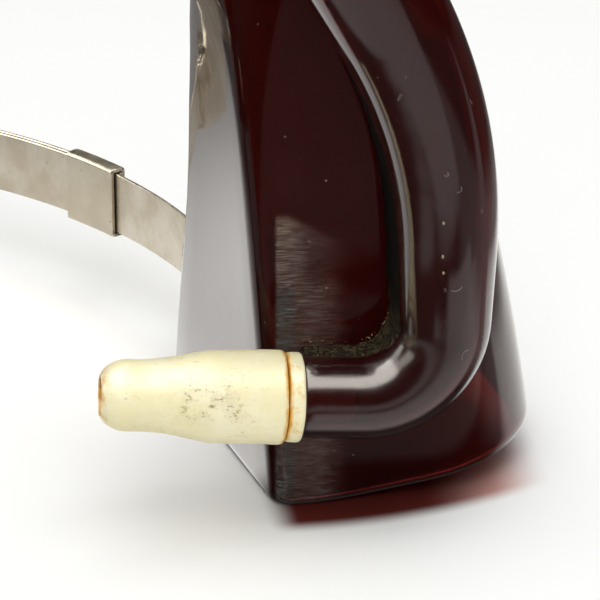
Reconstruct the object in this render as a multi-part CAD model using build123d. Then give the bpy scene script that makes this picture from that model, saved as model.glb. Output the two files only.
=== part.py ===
from build123d import *
from math import cos, exp, pi, radians, sin, sqrt, acos, tan
import os

# Acoustic headband: two folded ear-trumpet horns on a telescopic spring-steel band.
# Millimetres, +Z up, +X to the wearer's right-hand horn, +Y towards the crown of the band.
# The horns stand mouth-down on their inner rims. Everything is drawn for the +X side
# with the front faces of the horns at Y = 0, and mirrored for the -X side.

# ---- horn bell: a hollow flared box with rounded corners ----
bell_inner_x = 66.8          # front inner corner of the mouth, from the mirror plane
mouth_width = 37.8
mouth_depth = 46.0
bell_wall = 2.2
inner_lean = 4.3             # degrees the inner front edge leans towards the mirror plane
splay = 9.6                  # degrees the inner wall runs inwards as it goes back, at its waist
splay_low = 2.7              # more degrees in the lower half, all of them at low_height
low_height = 12.0
low_spread = 18.0
splay_high = 0.025           # more degrees above ease_height, per mm of height squared
outer_slope = 0.16           # loss of X per mm of height at the mouth, on the outer wall
outer_curve = 0.0012         # and its growth with the height
depth_taper = 0.235          # loss of depth per mm of height
mouth_flare = 6.5            # extra depth at the rim
flare_height = 8.0           # height over which the flare dies away
ease_height = 52.0           # above this the walls close in towards the throat
ease_outer = 0.014           # by these amounts per mm of height squared
ease_front = 0.004
ease_back = 0.006
shoulder_height = 67.0       # where the flat-sided part ends and the throat begins
outer_tuck = 0.08            # the outer wall runs inwards by this share of its depth
mouth_lift = 3.6             # the outer rim stands this far above the inner rim
edge_round = 3.0             # vertical edge between the front face and the inner wall
front_outer_round = 16.0
back_outer_round = 20.0
back_inner_round = 3.0
edge_hold = 6.0              # power of the height at which the two inner edges lose their sharpness
shoulder_round = 8.5         # all corners grow or shrink to this at the shoulder

# ---- neck: one conical tube from the throat, over the top and down the front face ----
tube_wall = 1.6
tube_end_r = 5.1             # at the collar
tube_bend_r = 5.85           # where the lower bend ends
tube_mid_r = 6.3             # where the long sweep begins
tube_leg_r = 7.45            # where the sweep ends
tube_top_r = 7.75            # where the fold begins
throat_r = 8.0
seat_gap = 0.15              # tube skin to front face, filled with cement
tube_run = 7.2               # straight run behind the collar
run_rise = 4.3               # degrees the run climbs towards the ear
run_height = 18.2            # axis of the run at the collar
bend_r = 10.2
upright_x = 87.3             # axis of the tube above the lower bend
tube_upright = 10.1          # its straight length
sweep_r = 64.0
sweep_turn = 28.0
tube_leg = 22.0              # straight length before the fold
fold_r = 9.0                 # centre-line radius of the fold over the top
throat_lean = 15.0           # degrees the throat leans; the leg leans by the sweep's turn
throat_neck = 5.0            # throat of the bell below the joint
throat_spread = 0.35         # its growth in radius over that length
spigot_length = 3.0
spigot_wall = 1.2
spigot_gap = 0.25            # per side, filled with cement
spigot_land = 1.5            # closed length of the tube's end that carries the spigot
joint_gap = 0.05             # cemented or pushed diameters, per side

# ---- ear piece ----
collar_r = 5.6
collar_length = 2.0
collar_edge = 0.35
glue_line = 0.02             # collar to the end of the tube
end_trim = 1.5               # the end of the tube is faced off flat over this length
nipple_r = 3.0
nipple_bore_r = 1.9
nipple_grip = 6.5            # length inside the tube
nipple_reach = 9.0           # length beyond the collar, inside the ear tip
nipple_chamfer = 0.4
tip_length = 22.9
tip_base_r = 5.83
tip_waist_r = 4.43
tip_nose_r = 4.5
tip_bore_r = 2.35
tip_edge = 0.4
tip_shank = 8.8              # length of the full-width part, which narrows by tip_taper
tip_taper = 0.1
waist_inset = 6.3            # narrowest place, from the nose
nose_inset = 2.3             # where the nose begins to close in
nose_barrel = 1.4            # full-width length before that
nose_close = 0.25            # loss of radius over that length
nose_lip = 0.45
seam_gap = 0.2               # ear tip to collar
socket_slack = 0.5

# ---- spring band ----
ribbon_width = 8.9
ribbon_thickness = 0.5
band_height = 16.2           # middle of the ribbon above the table
band_r = 86.0                # side arcs, at the middle of the side ribbon
band_centre_x = 20.6         # arc centre lies across the mirror plane from its own side
band_centre_y = 24.0
crown_angle = 30.0           # from +Y, where the side arc meets the crown arc
slide_gap = 0.25
sleeve_start_angle = 52.5    # angles along the side arc, from +Y towards +X
sleeve_end_angle = 59.3
sleeve_wall = 0.5
edge_gap = 0.2
clip_start_angle = 31.2
clip_length = 5.0
ribbon_start_angle = 31.0    # upper end of the side ribbon

# ---- swivel between band and horn ----
pivot_y = 47.3
bracket_thickness = 1.0
bracket_height = 9.0
foot_round = 2.0
arm_length = 6.6             # of the swivel plate, from the pivot towards the foot
foot_length = 12.5
foot_start = 2.4             # inner end of the foot, outwards from the pivot
pad_rear_y = 41.0            # rear face of the moulded pad on the bell
pad_depth = 6.0              # of the pad, before the bell cuts it
pad_margin = 1.2
pad_round = 1.5
pivot_shank_r = 1.5
pivot_run = 0.06             # running clearance of the pivot, per side
pivot_head_r = 2.7
pivot_head_height = 1.3
washer_r = 3.4
washer_thickness = 0.5
swivel_gap = 0.2             # between the ribbon and what it turns against
nut_flats = 5.4
nut_height = 2.0
thread_end = 0.7
slot_width = 0.7
slot_depth = 0.6
foot_screw_r = 1.0
foot_screw_depth = 3.2
foot_hole_spare = 0.3        # screw hole below the screw's end
foot_screw_head_r = 1.8
foot_screw_head_height = 1.0
foot_screw_pitch = 5.0
foot_screw_inset = 2.6       # outer screw from the free end of the foot

up = Vector(0, 0, 1)
back = Vector(0, 1, 0)


# ---- the horn bell ----
def bell_outline(height):
    """Inner x, outer x, front y and back y of the bell at a height."""
    eased = max(height - ease_height, 0) ** 2
    inner = bell_inner_x - tan(radians(inner_lean)) * height
    outer = bell_inner_x + mouth_width - outer_slope * height - outer_curve * height ** 2
    rear = mouth_depth - mouth_flare * (1 - exp(-height / flare_height)) - depth_taper * height
    return inner, outer - ease_outer * eased, ease_front * eased, rear - ease_back * eased


def splay_at(height):
    """Degrees the inner wall runs inwards at a height: the least is at the waist."""
    low = splay_low * exp(-((height - low_height) / low_spread) ** 2)
    return splay + low + splay_high * max(height - ease_height, 0) ** 2


def corner_rounds(height):
    share = min(max(height / shoulder_height, 0), 1)
    mouth = (edge_round, front_outer_round, back_outer_round, back_inner_round)
    shares = (share ** edge_hold, share, share, share ** edge_hold)
    return [r + (shoulder_round - r) * grown for r, grown in zip(mouth, shares)]


def inset_corners(corners, inset):
    """Corners of a convex polygon moved inwards by the same distance on every side."""
    moved = []
    for i, p in enumerate(corners):
        a = (p - corners[i - 1]).normalized()
        b = (corners[(i + 1) % len(corners)] - p).normalized()
        turn = a.cross(b).Z
        moved.append(p + (b - a) * (inset / turn))
    return moved


def rounded_face(plane, corners, rounds):
    line = FilletPolyline(*corners, radius=rounds, close=True)
    return plane.location * make_face(line)


def bell_section(height, inset):
    inner, outer, front, rear = bell_outline(height)
    shift = tan(radians(splay_at(height))) * (rear - front)
    corners = [Vector(inner, front), Vector(outer, front), Vector(outer - rear * outer_tuck, rear),
               Vector(inner - shift, rear)]
    rounds = [max(r - inset, 0.8) for r in corner_rounds(height)]
    return rounded_face(Plane.XY.offset(height), inset_corners(corners, inset), rounds)


def throat_section(drop, radius):
    """A square so rounded that it is a circle, with the same number of edges as a section."""
    plane = Plane(origin=throat_point - throat_axis * drop, x_dir=throat_side, z_dir=throat_axis)
    corners = [Vector(-radius, -radius), Vector(radius, -radius), Vector(radius, radius),
               Vector(-radius, radius)]
    return rounded_face(plane, corners, [radius * 0.985] * 4)


# ---- the centre line of the neck ----
rise = radians(run_rise)
run_direction = Vector(-cos(rise), 0, sin(rise))
sweep = radians(sweep_turn)
lean = radians(throat_lean)
leg_axis = Vector(-sin(sweep), 0, cos(sweep))
throat_axis = Vector(-sin(lean), 0, cos(lean))
throat_side = Vector(cos(lean), 0, sin(lean))
bore_growth = (throat_r - tube_wall - nipple_r - joint_gap) / (throat_r - tube_end_r)
bend_centre_x = upright_x - bend_r
bend_centre_z = run_height + bend_r * cos(rise) - tube_run * sin(rise)
sweep_start_z = bend_centre_z + tube_upright


def seat(x, z, radius):
    """A centre-line point whose tube, or the ear tip on its end, lies against the front face."""
    return Vector(x, -(max(radius, tip_base_r) + seat_gap), z)


def neck_stations():
    """Plane across the tube and outer radius along the neck, from the collar to the throat."""
    stations = []

    def add(point, direction, side, radius):
        stations.append((Plane(origin=point, x_dir=side, z_dir=direction), radius))

    def straight(steps, x, z, direction, length, start_r, end_r):
        for k in range(steps):
            go = direction * (length * k / steps)
            radius = start_r + (end_r - start_r) * k / steps
            add(seat(x + go.X, z + go.Z, radius), direction, direction.cross(back), radius)

    def bend(steps, centre_x, centre_z, bend_radius, start, turn, start_r, end_r):
        for k in range(steps):
            angle = start + turn * k / steps
            radius = start_r + (end_r - start_r) * k / steps
            direction = Vector(-sin(angle), 0, cos(angle))
            x = centre_x + bend_radius * cos(angle)
            z = centre_z + bend_radius * sin(angle)
            add(seat(x, z, radius), direction, direction.cross(back), radius)

    run_x = bend_centre_x - bend_r * sin(rise)
    run_z = bend_centre_z - bend_r * cos(rise)
    start_x = run_x + run_direction.X * tube_run
    start_z = run_z + run_direction.Z * tube_run
    straight(2, start_x, start_z, run_direction * -1, tube_run, tube_end_r, tube_end_r)
    bend(8, bend_centre_x, bend_centre_z, bend_r, -pi / 2 - rise, pi / 2 + rise, tube_end_r, tube_bend_r)
    straight(3, upright_x, bend_centre_z, up, tube_upright, tube_bend_r, tube_mid_r)
    bend(8, upright_x - sweep_r, sweep_start_z, sweep_r, 0, sweep, tube_mid_r, tube_leg_r)
    leg_x = upright_x - sweep_r * (1 - cos(sweep))
    leg_z = sweep_start_z + sweep_r * sin(sweep)
    straight(5, leg_x, leg_z, leg_axis, tube_leg, tube_leg_r, tube_top_r)
    leg_end = seat(leg_x + leg_axis.X * tube_leg, leg_z + leg_axis.Z * tube_leg, tube_top_r)
    crown = leg_end + back * fold_r + leg_axis * fold_r
    folds = 8
    for k in range(folds + 1):
        angle = pi * k / folds
        axis = leg_axis if k < folds / 2 else throat_axis
        point = crown - back * (fold_r * cos(angle)) - axis * (fold_r * (1 - sin(angle)))
        direction = back * sin(angle) + axis * cos(angle)
        side = leg_axis.cross(back) * (1 - k / folds) + throat_axis.cross(back) * (k / folds)
        add(point, direction, side, tube_top_r + (throat_r - tube_top_r) * k / folds)
    return stations


stations = neck_stations()
tube_end = stations[0][0].origin
throat_point = stations[-1][0].origin


def neck_loft(shrink, overrun=0):
    """A smooth skin through circles on every station, run on past both ends for a cut."""
    rings = [(plane, shrink(radius)) for plane, radius in stations]
    if overrun:
        rings.insert(0, (rings[0][0].offset(-overrun), rings[0][1]))
        rings.append((rings[-1][0].offset(overrun), rings[-1][1]))
    return loft([plane.location * Circle(radius) for plane, radius in rings])


def bore_radius(radius):
    """The bore starts as the nipple's seat and widens with the tube."""
    return max(nipple_r + joint_gap, nipple_r + joint_gap + (radius - tube_end_r) * bore_growth)


def disc(plane, radius, start, end):
    """A cylinder on a plane's axis between two distances."""
    return plane.location * Pos(0, 0, (start + end) / 2) * Cylinder(radius, end - start)


def make_bell():
    levels = [-5.0, 0.0, 8.0, 18.0, 30.0, 42.0, ease_height, 60.0, shoulder_height]
    outer = loft([bell_section(z, 0) for z in levels]
                 + [throat_section(throat_neck, throat_r + throat_spread), throat_section(0, throat_r)])
    hollow = loft([bell_section(z, bell_wall) for z in levels]
                  + [throat_section(throat_neck, throat_r + throat_spread - bell_wall),
                     throat_section(0, throat_r - bell_wall)])
    rim_line = Vector(-tan(radians(splay_at(0))), 1, 0).normalized()
    rim_rise = Vector(mouth_width, 0, mouth_lift).normalized()
    mouth = Plane(origin=(bell_inner_x, 0, 0), x_dir=rim_line, z_dir=rim_line.cross(rim_rise) * -1)
    body = outer + make_pad()
    body = body - hollow
    for place in foot_screw_places():
        body -= disc(place, foot_screw_r + joint_gap, -foot_screw_depth - foot_hole_spare, 1)
    return split(body, bisect_by=mouth, keep=Keep.TOP)


# ---- swivel places ----
pivot_angle = acos((pivot_y - band_centre_y) / band_r)
outwards = Vector(sin(pivot_angle), cos(pivot_angle), 0)
forwards = Vector(cos(pivot_angle), -sin(pivot_angle), 0)
pivot_point = Vector(-band_centre_x, band_centre_y, band_height) + outwards * band_r
pivot_plane = Plane(origin=pivot_point, x_dir=forwards, z_dir=outwards)
half_ribbon = ribbon_thickness / 2
washer_low = half_ribbon + swivel_gap
plate_low = washer_low + washer_thickness
plate_high = plate_low + bracket_thickness
foot_start_x = pivot_point.X + foot_start
foot_end_x = foot_start_x + foot_length


def make_pad():
    """A solid pad on the back of the bell, with an upright rear face for the bracket."""
    length = foot_length + 2 * pad_margin
    height = bracket_height + 2 * pad_margin
    pad = Box(length, pad_depth, height)
    pad = fillet(pad.edges().filter_by(Axis.Y), pad_round)
    return Pos((foot_start_x + foot_end_x) / 2, pad_rear_y - pad_depth / 2, band_height) * pad


def foot_screw_places():
    places = []
    for k in range(2):
        x = foot_end_x - foot_screw_inset - k * foot_screw_pitch
        places.append(Plane(origin=(x, pad_rear_y, band_height), x_dir=(1, 0, 0), z_dir=(0, 1, 0)))
    return places


# ---- pieces of one horn ----
def make_neck():
    tube = neck_loft(lambda radius: radius)
    end = stations[-1][0]
    spigot_r = throat_r - bell_wall - spigot_gap
    tube = tube - neck_loft(bore_radius, overrun=3)
    tube -= disc(tip_plane, tube_end_r + end_trim, 0, end_trim)
    tube += disc(end, throat_r - tube_wall / 2, -spigot_land, 0)
    tube += disc(end, spigot_r, -spigot_land, spigot_length)
    return tube - disc(end, spigot_r - spigot_wall, -spigot_land - 1, spigot_length + 1)


tip_plane = Plane(origin=tube_end, x_dir=(0, 1, 0), z_dir=run_direction)
tip_start = collar_length + seam_gap


def make_collar():
    ring = disc(tip_plane, collar_r, glue_line, collar_length)
    ring = fillet(ring.edges(), collar_edge)
    return ring - disc(tip_plane, nipple_r + joint_gap / 2, -1, collar_length + 1)


def make_nipple():
    tube = disc(tip_plane, nipple_r, -nipple_grip, collar_length + nipple_reach)
    tube = chamfer(tube.edges(), nipple_chamfer)
    return tube - disc(tip_plane, nipple_bore_r, -nipple_grip - 1, collar_length + nipple_reach + 1)


def make_ear_tip():
    nose = tip_length - nose_inset
    shank = Line((tip_base_r, tip_edge), (tip_base_r - tip_taper, tip_shank))
    neck = Spline(shank @ 1, (tip_waist_r, tip_length - waist_inset), (tip_nose_r, nose - nose_barrel),
                  (tip_nose_r - nose_close, nose), (tip_bore_r + nose_lip, tip_length),
                  tangents=[(-0.01, 1), (-1, 0.12)])
    mouth = Line(neck @ 1, (tip_bore_r, tip_length - nose_lip / 2))
    bore = Line(mouth @ 1, (tip_bore_r, 0))
    base = Polyline(bore @ 1, (tip_base_r - tip_edge, 0), shank @ 0)
    profile = make_face([shank, neck, mouth, bore, base])
    tip = revolve(Plane.XZ.location * profile, Axis.Z)
    tip -= disc(Plane.XY, nipple_r + joint_gap, -1, nipple_reach - seam_gap + socket_slack)
    place = Plane(origin=tube_end + run_direction * tip_start, x_dir=(0, 1, 0), z_dir=run_direction)
    return place.location * tip


def make_bracket():
    plate = Pos(arm_length / 2, 0, 0) * Box(arm_length, bracket_height, bracket_thickness)
    plate += Cylinder(bracket_height / 2, bracket_thickness)
    plate = pivot_plane.location * Pos(0, 0, (plate_low + plate_high) / 2) * plate
    foot = Box(foot_length, bracket_thickness, bracket_height)
    foot = fillet(foot.edges().filter_by(Axis.Y).group_by(Axis.X)[-1], foot_round)
    foot = Pos((foot_start_x + foot_end_x) / 2, pad_rear_y + bracket_thickness / 2, band_height) * foot
    cut = 4 * arm_length
    trim = Pos(pivot_point.X, pad_rear_y - cut / 2, band_height) * Box(cut, cut, cut)
    bracket = (plate - trim) + foot
    bracket -= disc(pivot_plane, pivot_shank_r + joint_gap / 2, plate_low - 1, plate_high + 1)
    for place in foot_screw_places():
        bracket -= disc(place, foot_screw_r + joint_gap, -1, bracket_thickness + 1)
    return bracket


def slotted_head(plane, radius, height, base):
    """A domed screw head with a driver slot, standing on a plane."""
    dome_r = (radius ** 2 + height ** 2) / (2 * height)
    dome = plane.location * Pos(0, 0, base + height - dome_r) * Sphere(dome_r)
    head = disc(plane, radius, base, base + height + 0.1) & dome
    slot = Box(2 * radius + 1, slot_width, 2 * slot_depth)
    return head - plane.location * Pos(0, 0, base + height) * slot


def make_foot_screws():
    screws = []
    for place in foot_screw_places():
        shank = disc(place, foot_screw_r, -foot_screw_depth, bracket_thickness)
        screws.append(shank + slotted_head(place, foot_screw_head_r, foot_screw_head_height,
                                           bracket_thickness))
    return screws[0] + screws[1]


def make_pivot_screw():
    inwards = Plane(origin=pivot_point, x_dir=forwards, z_dir=outwards * -1)
    base = half_ribbon + swivel_gap
    shank = disc(inwards, pivot_shank_r, -(plate_high + nut_height + thread_end), base)
    return shank + slotted_head(inwards, pivot_head_r, pivot_head_height, base)


def make_washer():
    ring = disc(pivot_plane, washer_r, washer_low, plate_low)
    return ring - disc(pivot_plane, pivot_shank_r + joint_gap / 2, washer_low - 1, plate_low + 1)


def make_nut():
    side = RegularPolygon(nut_flats / sqrt(3), 6)
    nut = extrude(pivot_plane.location * Pos(0, 0, plate_high) * side, nut_height)
    return nut - disc(pivot_plane, pivot_shank_r + joint_gap / 2, plate_high - 1, plate_high + nut_height + 1)


# ---- the band ----
def arc_strip(centre, radius, start, end, thickness, width):
    """A curved strip on edge: angles are measured from +Y towards +X."""
    strip_start = 90 - end
    outer = CenterArc(centre, radius + thickness / 2, strip_start, end - start)
    inner = CenterArc(centre, radius - thickness / 2, strip_start, end - start)
    face = make_face([outer, Line(outer @ 1, inner @ 1), inner, Line(inner @ 0, outer @ 0)])
    return Pos(0, 0, band_height - width / 2) * extrude(face, width)


side_centre = (-band_centre_x, band_centre_y)
top_r = band_r + ribbon_thickness + slide_gap
crown_reach = band_centre_x / sin(radians(crown_angle))
crown_centre_y = band_centre_y + crown_reach * cos(radians(crown_angle))
clip_end_angle = clip_start_angle + clip_length / radians(1) / band_r


def make_top_band():
    leg = arc_strip(side_centre, top_r, crown_angle, sleeve_end_angle, ribbon_thickness, ribbon_width)
    crown = arc_strip((0, crown_centre_y), top_r - crown_reach, -crown_angle, crown_angle,
                      ribbon_thickness, ribbon_width)
    return crown + leg + mirror(leg, about=Plane.YZ)


def make_side_band():
    turn = pivot_angle / radians(1)
    past = turn + ribbon_width / radians(1) / band_r
    strip = arc_strip(side_centre, band_r, ribbon_start_angle, turn, ribbon_thickness, ribbon_width)
    end = arc_strip(side_centre, band_r, turn, past, ribbon_thickness, ribbon_width)
    end &= disc(pivot_plane, ribbon_width / 2, -ribbon_width / 2, ribbon_width / 2)
    return strip + end - disc(pivot_plane, pivot_shank_r + pivot_run, -ribbon_width, ribbon_width)


def wrapped_loop(start, end, low, high):
    """A flat loop of sheet folded round the two ribbons, between two inside radii."""
    inside = ribbon_width + 2 * edge_gap
    whole = arc_strip(side_centre, (low + high) / 2, start, end, high - low + 2 * sleeve_wall,
                      inside + 2 * sleeve_wall)
    long_edges = [e for e in whole.edges() if e.geom_type == GeomType.CIRCLE]
    whole = fillet(long_edges, sleeve_wall * 0.8)
    return whole - arc_strip(side_centre, (low + high) / 2, start - 1, end + 1, high - low, inside)


def make_sleeve():
    low = band_r - half_ribbon - slide_gap
    return wrapped_loop(sleeve_start_angle, sleeve_end_angle, low, top_r + half_ribbon)


def make_stop_clip():
    high = top_r + half_ribbon + slide_gap
    return wrapped_loop(clip_start_angle, clip_end_angle, band_r - half_ribbon, high)


# ---- both sides, set on the table with the origin under the middle of the whole ----
one_side = {
    "horn_bell": make_bell(),
    "neck_tube": make_neck(),
    "tip_collar": make_collar(),
    "tip_nipple": make_nipple(),
    "ear_tip": make_ear_tip(),
    "pivot_bracket": make_bracket(),
    "bracket_screws": make_foot_screws(),
    "pivot_screw": make_pivot_screw(),
    "pivot_washer": make_washer(),
    "pivot_nut": make_nut(),
    "side_band": make_side_band(),
    "stop_clip": make_stop_clip(),
    "band_sleeve": make_sleeve(),
}
pieces = {"top_band": make_top_band()}
for name, shape in one_side.items():
    pieces["right_" + name] = shape
    pieces["left_" + name] = mirror(shape, about=Plane.YZ)

box = Compound([solid for shape in pieces.values() for solid in shape.solids()]).bounding_box()
to_origin = Pos(0, -(box.min.Y + box.max.Y) / 2, -box.min.Z)

os.makedirs("parts", exist_ok=True)
for name, shape in pieces.items():
    export_step(to_origin * shape, "parts/" + name + ".step")

shift = to_origin.position
print("size", box.size)
print("shift", shift)
print("pivot", pivot_point + shift, "axis", outwards)
print("slide centre", Vector(-band_centre_x, band_centre_y, 0) + shift)
print("tube end", tube_end + shift, "tip direction", run_direction)
print("throat", throat_point + shift)
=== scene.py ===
import bpy
from math import acos, atan2, cos, degrees, exp, hypot, pi, radians, sin, tan
from mathutils import Matrix, Vector, noise


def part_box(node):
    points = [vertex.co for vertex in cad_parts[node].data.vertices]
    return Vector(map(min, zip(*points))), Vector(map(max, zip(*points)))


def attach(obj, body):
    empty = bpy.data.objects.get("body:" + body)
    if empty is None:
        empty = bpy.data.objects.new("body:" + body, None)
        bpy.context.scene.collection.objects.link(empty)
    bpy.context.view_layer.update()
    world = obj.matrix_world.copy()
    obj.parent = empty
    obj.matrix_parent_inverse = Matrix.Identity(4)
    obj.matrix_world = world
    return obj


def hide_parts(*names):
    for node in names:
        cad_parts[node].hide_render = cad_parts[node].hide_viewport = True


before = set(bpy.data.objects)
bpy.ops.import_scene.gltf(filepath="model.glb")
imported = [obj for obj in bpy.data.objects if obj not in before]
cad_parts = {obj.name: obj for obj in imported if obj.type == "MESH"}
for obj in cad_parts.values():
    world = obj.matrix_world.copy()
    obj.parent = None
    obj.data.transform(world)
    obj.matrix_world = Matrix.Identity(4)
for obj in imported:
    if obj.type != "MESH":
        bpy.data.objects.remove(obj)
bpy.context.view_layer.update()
mm = 0.001
print("frame loaded")

# every piece is drawn for the right side, in millimetres from the mirror plane,
# from the front faces of the horns and from the table
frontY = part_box("right_horn_bell")[0].y


def place(x, y, z):
    return Vector((x * mm, frontY + y * mm, z * mm))


def tanDeg(angle):
    return tan(radians(angle))


# ---- small tools ----
def deselect():
    active = bpy.context.view_layer.objects.active
    if active is not None and active.mode != "OBJECT":
        bpy.ops.object.mode_set(mode="OBJECT")
    bpy.ops.object.select_all(action="DESELECT")


def activate(piece):
    deselect()
    piece.select_set(True)
    bpy.context.view_layer.objects.active = piece


def applyAll(piece):
    activate(piece)
    for modifier in list(piece.modifiers):
        bpy.ops.object.modifier_apply(modifier=modifier.name)


def tidyMesh(piece, weld=0.004 * mm, smooth=40, capped=False):
    # weld what meets, close open ends, turn the faces outwards, shade smooth below an angle
    activate(piece)
    bpy.ops.object.mode_set(mode="EDIT")
    bpy.ops.mesh.select_all(action="SELECT")
    bpy.ops.mesh.remove_doubles(threshold=weld)
    if capped:
        bpy.ops.mesh.select_all(action="DESELECT")
        bpy.ops.mesh.select_non_manifold(extend=False)
        bpy.ops.mesh.edge_face_add()
        bpy.ops.mesh.select_all(action="SELECT")
    bpy.ops.mesh.normals_make_consistent(inside=False)
    bpy.ops.object.mode_set(mode="OBJECT")
    bpy.ops.object.shade_smooth_by_angle(angle=radians(smooth))


def skin(name, rings, capped=False, weld=0.004 * mm, smooth=40):
    # a grid wrapped round a row of rings, its two long edges welded
    across = len(rings[0])
    along = len(rings) - 1
    deselect()
    bpy.ops.mesh.primitive_grid_add(x_subdivisions=along, y_subdivisions=across, size=1)
    piece = bpy.context.object
    piece.name = name
    for vertex in piece.data.vertices:
        k = round((vertex.co.x + 0.5) * along)
        i = round((vertex.co.y + 0.5) * across) % across
        vertex.co = rings[k][i]
    tidyMesh(piece, weld, smooth, capped)
    return piece


def lathe(name, profile, start):
    # turned about the ear tip's axis: profile points are (radius, distance along the axis)
    side = tipAxis.orthogonal().normalized()
    other = tipAxis.cross(side)
    turns = [2 * pi * i / tip["around"] for i in range(tip["around"])]
    rings = []
    for radius, along in profile:
        centre = place(*start) + tipAxis * (along * mm)
        rings.append([centre + (side * cos(a) + other * sin(a)) * (radius * mm) for a in turns])
    return skin(name, rings, weld=0.006 * mm)


def mirrored(piece, name):
    # the other side's copy, turned right side out again
    activate(piece)
    bpy.ops.object.duplicate()
    copy = bpy.context.object
    copy.name = name
    copy.data.name = name
    copy.data.transform(Matrix.Scale(-1, 4, (1, 0, 0)))
    copy.data.flip_normals()
    return copy


def finishPair(piece, finish, part, body, replaced):
    # the right-hand piece and its mirror image, each on its own body and in its node's place
    piece.name = "right_" + part
    piece.data.materials.append(finish)
    for side, item in (("right_", piece), ("left_", mirrored(piece, "left_" + part))):
        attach(item, body if body == "headband" else side + body)
        if replaced:
            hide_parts(side + replaced)


# ---- camera ----
camera = {
    "target": (70.0, 0.0, 28.8),
    "heading": 8.0,
    "elevation": 23.0,
    "distance": 480.0,
    "lens": 230.4,
}


def makeCamera():
    turn = radians(camera["heading"])
    rise = radians(camera["elevation"])
    look = Vector((sin(turn) * cos(rise), cos(turn) * cos(rise), -sin(rise)))
    deselect()
    bpy.ops.object.camera_add(location=place(*camera["target"]) - look * camera["distance"] * mm)
    view = bpy.context.object
    view.rotation_mode = "QUATERNION"
    view.rotation_quaternion = look.to_track_quat("-Z", "Y")
    view.data.lens = camera["lens"]
    view.data.sensor_width = 36
    view.data.clip_start = 0.02
    view.data.clip_end = 20
    bpy.context.scene.camera = view


makeCamera()


# ---- materials: a few words for node trees ----
class Tree:
    def __init__(self, tree):
        self.nodes = tree.nodes
        self.links = tree.links

    def feed(self, socket, value):
        # a value is a number or another node's output
        if isinstance(value, bpy.types.NodeSocket):
            self.links.new(value, socket)
        else:
            socket.default_value = value

    def node(self, kind, sockets=None, **settings):
        made = self.nodes.new(kind)
        for key, value in settings.items():
            setattr(made, key, value)
        for key, value in (sockets or {}).items():
            self.feed(made.inputs[key], value)
        return made

    def math(self, operation, a, b=0.0, clamp=False):
        return self.node("ShaderNodeMath", {0: a, 1: b}, operation=operation, use_clamp=clamp).outputs[0]

    def chain(self, operation, values):
        result = values[0]
        for value in values[1:]:
            result = self.math(operation, result, value)
        return result

    def plus(self, *values):
        return self.chain("ADD", values)

    def minus(self, *values):
        return self.chain("SUBTRACT", values)

    def times(self, *values):
        return self.chain("MULTIPLY", values)

    def most(self, *values):
        return self.chain("MAXIMUM", values)

    def inverse(self, value):
        return self.math("SUBTRACT", 1.0, value, clamp=True)

    def span(self, value, low, high, toLow=0.0, toHigh=1.0):
        # an eased ramp from one pair of values to another
        sockets = {"Value": value, "From Min": low, "From Max": high, "To Min": toLow, "To Max": toHigh}
        return self.node("ShaderNodeMapRange", sockets, interpolation_type="SMOOTHSTEP").outputs["Result"]

    def between(self, value, low, high, soft):
        # one between two limits, with soft edges inside them
        return self.times(self.span(value, low, low + soft), self.span(value, high - soft, high, 1.0, 0.0))

    def mix(self, share, a, b):
        return self.node("ShaderNodeMix", {"Factor": share, 6: a, 7: b}, data_type="RGBA").outputs[2]

    def bump(self, height, distance):
        # distance in millimetres
        sockets = {"Height": height, "Strength": 1.0, "Distance": distance * mm}
        return self.node("ShaderNodeBump", sockets).outputs["Normal"]

    def axes(self, vector):
        return self.node("ShaderNodeSeparateXYZ", {0: vector}).outputs[:]


class Finish(Tree):
    def __init__(self, name, bothSides=True):
        self.material = bpy.data.materials.new(name)
        self.material.use_nodes = True
        super().__init__(self.material.node_tree)
        self.shader = self.nodes["Principled BSDF"]
        self.output = self.nodes["Material Output"]
        # object coordinates in millimetres from the front faces, the same on both sides
        x, y, z = self.axes(self.node("ShaderNodeTexCoord").outputs["Object"])
        if bothSides:
            x = self.math("ABSOLUTE", x)
        self.x = self.times(x, 1000.0)
        self.y = self.times(self.minus(y, frontY), 1000.0)
        self.z = self.times(z, 1000.0)
        self.coords = self.node("ShaderNodeCombineXYZ", {0: self.x, 1: self.y, 2: self.z}).outputs[0]

    def finished(self, sockets):
        # the material, with its shader's sockets filled
        for key, value in sockets.items():
            self.feed(self.shader.inputs[key], value)
        return self.material

    def mapped(self, scale, turn=(0, 0, 0)):
        sockets = {"Vector": self.coords, "Scale": scale, "Rotation": turn}
        return self.node("ShaderNodeMapping", sockets).outputs["Vector"]

    def noise(self, scale, detail=3.0, roughness=0.5, distortion=0.0, vector=None):
        sockets = {"Vector": vector or self.coords, "Scale": scale, "Detail": detail,
                   "Roughness": roughness, "Distortion": distortion}
        return self.node("ShaderNodeTexNoise", sockets).outputs["Fac"]

    def dots(self, scale, size, share):
        # round specks of uneven size in a share of the cells
        cells = self.node("ShaderNodeTexVoronoi", {"Vector": self.coords, "Scale": scale}).outputs
        chosen = self.axes(cells["Color"])
        kept = self.math("GREATER_THAN", chosen[0], 1 - share)
        beyond = self.minus(cells["Distance"], self.times(chosen[1], size * 0.7))
        return self.times(kept, self.span(beyond, size * 0.3, 0.0))

    def fromPoint(self, start, operation):
        # in millimetres: the way from a point, or its length
        return self.node("ShaderNodeVectorMath", {0: self.coords, 1: start}, operation=operation).outputs

    def along(self, start, axis):
        # distance from a point along an axis
        sockets = {0: self.fromPoint(start, "SUBTRACT")["Vector"], 1: axis}
        return self.node("ShaderNodeVectorMath", sockets, operation="DOT_PRODUCT").outputs["Value"]

    def farSquared(self, start):
        return self.math("POWER", self.fromPoint(start, "DISTANCE")["Value"], 2.0)


def colour(r, g, b):
    return (r, g, b, 1)


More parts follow.
